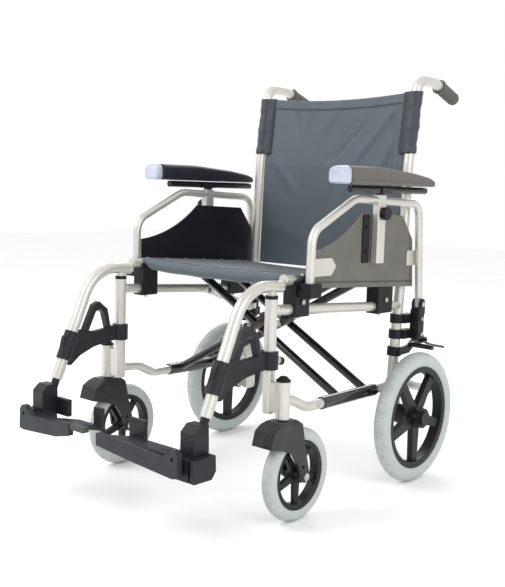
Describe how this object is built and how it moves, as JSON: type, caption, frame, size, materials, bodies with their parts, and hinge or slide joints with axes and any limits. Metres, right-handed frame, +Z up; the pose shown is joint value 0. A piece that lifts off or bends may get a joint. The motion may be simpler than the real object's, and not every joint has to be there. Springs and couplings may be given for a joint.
{
  "type": "manual wheelchair",
  "caption": "Folding attendant-propelled wheelchair with cross-brace frame, swing-away footrests, flip-back armrests and solid grey tyres.",
  "frame": {"origin": "centre of the overall box on the floor", "axes": "-Y is the front, +X is the sitter's left, +Z up"},
  "size_m": [0.682, 0.9812, 0.9801],
  "materials": {
    "frame_paint": "satin silver lacquer",
    "brace_black": "gloss black lacquer",
    "black_plastic": "matt moulded",
    "latch_plastic": "satin moulded",
    "grip_rubber": "matt ribbed",
    "tyre_grey": "smooth, non-marking",
    "rim_black": "satin moulded",
    "fork_black": "satin lacquer",
    "bolt_steel": "zinc plated",
    "axle_steel": "satin silver lacquer",
    "black_steel": "satin lacquer",
    "link_steel": "zinc plated, punched",
    "footplate_slate": "satin, ribbed",
    "panel_taupe": "fine matt texture",
    "pad_foam": "soft matt skin",
    "cap_grey": "satin moulded",
    "upholstery": "coated nylon weave"
  },
  "bodies": {
    "left_frame": {"left_side_frame": "frame_paint", "left_back_cane": "frame_paint", "left_push_grip": "grip_rubber", "left_frame_caps": "black_plastic", "left_seat_saddles": "black_plastic", "left_rear_clamps": "black_plastic", "left_frame_bolts": "bolt_steel", "left_rear_axle": "axle_steel"},
    "right_frame": {"right_side_frame": "frame_paint", "right_back_cane": "frame_paint", "right_push_grip": "grip_rubber", "right_frame_caps": "black_plastic", "right_seat_saddles": "black_plastic", "right_rear_clamps": "black_plastic", "right_frame_bolts": "bolt_steel", "right_rear_axle": "axle_steel", "back_sling": "upholstery"},
    "right_ladder": {"right_brace": "brace_black", "left_seat_rail": "frame_paint", "cross_bolts": "bolt_steel", "seat_sling": "upholstery"},
    "left_ladder": {"left_brace": "brace_black", "right_seat_rail": "frame_paint"},
    "left_rear_wheel": {"left_rear_rim": "rim_black", "left_rear_tyre": "tyre_grey"},
    "left_caster_fork": {"left_caster_fork": "fork_black", "left_caster_bolt": "bolt_steel"},
    "left_caster_wheel": {"left_caster_rim": "rim_black", "left_caster_tyre": "tyre_grey"},
    "left_hanger": {"left_hanger_tube": "frame_paint", "left_hanger_latch": "latch_plastic"},
    "left_foot_stem": {"left_foot_stem": "latch_plastic"},
    "left_footplate": {"left_footplate": "footplate_slate"},
    "left_armrest": {"left_armrest_tube": "frame_paint", "left_side_panel": "panel_taupe", "left_armrest_knob": "black_plastic"},
    "left_arm_pad": {"left_pad_post": "black_steel", "left_arm_pad": "pad_foam", "left_pad_cap": "cap_grey"},
    "left_wheel_lock": {"left_wheel_lock_lever": "black_steel"},
    "left_link": {"left_support_link": "link_steel"},
    "right_rear_wheel": {"right_rear_rim": "rim_black", "right_rear_tyre": "tyre_grey"},
    "right_caster_fork": {"right_caster_fork": "fork_black", "right_caster_bolt": "bolt_steel"},
    "right_caster_wheel": {"right_caster_rim": "rim_black", "right_caster_tyre": "tyre_grey"},
    "right_hanger": {"right_hanger_tube": "frame_paint", "right_hanger_latch": "latch_plastic"},
    "right_foot_stem": {"right_foot_stem": "latch_plastic"},
    "right_footplate": {"right_footplate": "footplate_slate", "footplate_tongue": "grip_rubber"},
    "right_armrest": {"right_armrest_tube": "frame_paint", "right_side_panel": "panel_taupe", "right_armrest_knob": "black_plastic"},
    "right_arm_pad": {"right_pad_post": "black_steel", "right_arm_pad": "pad_foam", "right_pad_cap": "cap_grey"},
    "right_wheel_lock": {"right_wheel_lock_lever": "black_steel"},
    "right_link": {"right_support_link": "link_steel"}
  },
  "joints": [
    {"name": "fold", "type": "hinge", "parent": "right_frame", "child": "right_ladder", "pos_m": [-0.245, 0.05, 0.226], "axis": [0, -1, 0], "range_deg": [0, 45], "deforming": ["seat_sling", "back_sling"]},
    {"name": "ladder_cross", "type": "hinge", "parent": "right_ladder", "child": "left_ladder", "pos_m": [0, 0.065, 0.36181], "axis": [0, -1, 0], "range_deg": [-90, 0]},
    {"name": "left_frame_fold", "type": "hinge", "parent": "left_ladder", "child": "left_frame", "pos_m": [0.245, 0.05, 0.226], "axis": [0, -1, 0], "range_deg": [0, 45]},
    {"name": "left_rear_wheel_spin", "type": "hinge", "parent": "left_frame", "child": "left_rear_wheel", "pos_m": [0.307, 0.249, 0.157], "axis": [1, 0, 0], "continuous": true},
    {"name": "left_caster_swivel", "type": "hinge", "parent": "left_frame", "child": "left_caster_fork", "pos_m": [0.278, -0.22, 0.26], "axis": [0, 0, 1], "continuous": true},
    {"name": "left_caster_spin", "type": "hinge", "parent": "left_caster_fork", "child": "left_caster_wheel", "pos_m": [0.278, -0.17, 0.1], "axis": [1, 0, 0], "continuous": true},
    {"name": "left_hanger_swing", "type": "hinge", "parent": "left_frame", "child": "left_hanger", "pos_m": [0.236, -0.216, 0.45], "axis": [0, 0, 1], "range_deg": [0, 90]},
    {"name": "left_foot_height", "type": "slide", "parent": "left_hanger", "child": "left_foot_stem", "axis": [0, -0.3912, -0.9203], "range_m": [0, 0.08]},
    {"name": "left_footplate_flip", "type": "hinge", "parent": "left_foot_stem", "child": "left_footplate", "pos_m": [0.236, -0.47, 0.188], "axis": [0, 1, 0], "range_deg": [0, 90]},
    {"name": "left_armrest_flip", "type": "hinge", "parent": "left_frame", "child": "left_armrest", "pos_m": [0.272, 0.303, 0.424], "axis": [-1, 0, 0], "range_deg": [0, 100]},
    {"name": "left_pad_height", "type": "slide", "parent": "left_armrest", "child": "left_arm_pad", "axis": [0, 0, 1], "range_m": [0, 0.07]},
    {"name": "left_wheel_lock_press", "type": "hinge", "parent": "left_frame", "child": "left_wheel_lock", "pos_m": [0.262, 0.345, 0.33], "axis": [1, 0, 0], "range_deg": [0, 6]},
    {"name": "left_link_turn", "type": "hinge", "parent": "left_frame", "child": "left_link", "pos_m": [0.212, 0.063, 0.42688], "axis": [0, 1, 0], "range_deg": [0, 91.8]},
    {"name": "right_rear_wheel_spin", "type": "hinge", "parent": "right_frame", "child": "right_rear_wheel", "pos_m": [-0.307, 0.249, 0.157], "axis": [1, 0, 0], "continuous": true},
    {"name": "right_caster_swivel", "type": "hinge", "parent": "right_frame", "child": "right_caster_fork", "pos_m": [-0.278, -0.22, 0.26], "axis": [0, 0, 1], "continuous": true},
    {"name": "right_caster_spin", "type": "hinge", "parent": "right_caster_fork", "child": "right_caster_wheel", "pos_m": [-0.278, -0.17, 0.1], "axis": [1, 0, 0], "continuous": true},
    {"name": "right_hanger_swing", "type": "hinge", "parent": "right_frame", "child": "right_hanger", "pos_m": [-0.236, -0.216, 0.45], "axis": [0, 0, -1], "range_deg": [0, 90]},
    {"name": "right_foot_height", "type": "slide", "parent": "right_hanger", "child": "right_foot_stem", "axis": [0, -0.3912, -0.9203], "range_m": [0, 0.08]},
    {"name": "right_footplate_flip", "type": "hinge", "parent": "right_foot_stem", "child": "right_footplate", "pos_m": [-0.236, -0.47, 0.188], "axis": [0, -1, 0], "range_deg": [0, 90]},
    {"name": "right_armrest_flip", "type": "hinge", "parent": "right_frame", "child": "right_armrest", "pos_m": [-0.272, 0.303, 0.424], "axis": [-1, 0, 0], "range_deg": [0, 100]},
    {"name": "right_pad_height", "type": "slide", "parent": "right_armrest", "child": "right_arm_pad", "axis": [0, 0, 1], "range_m": [0, 0.07]},
    {"name": "right_wheel_lock_press", "type": "hinge", "parent": "right_frame", "child": "right_wheel_lock", "pos_m": [-0.262, 0.345, 0.33], "axis": [1, 0, 0], "range_deg": [0, 6]},
    {"name": "right_link_turn", "type": "hinge", "parent": "right_frame", "child": "right_link", "pos_m": [-0.212, 0.063, 0.42688], "axis": [0, -1, 0], "range_deg": [0, 91.8]}
  ],
  "couplings": [
    {"joint": "ladder_cross", "follows": "fold", "ratio": -2},
    {"joint": "left_frame_fold", "follows": "fold", "ratio": 1},
    {"joint": "left_footplate_flip", "follows": "fold", "ratio": 2},
    {"joint": "left_link_turn", "follows": "fold", "ratio": 2.04},
    {"joint": "right_footplate_flip", "follows": "fold", "ratio": 2},
    {"joint": "right_link_turn", "follows": "fold", "ratio": 2.04}
  ]
}
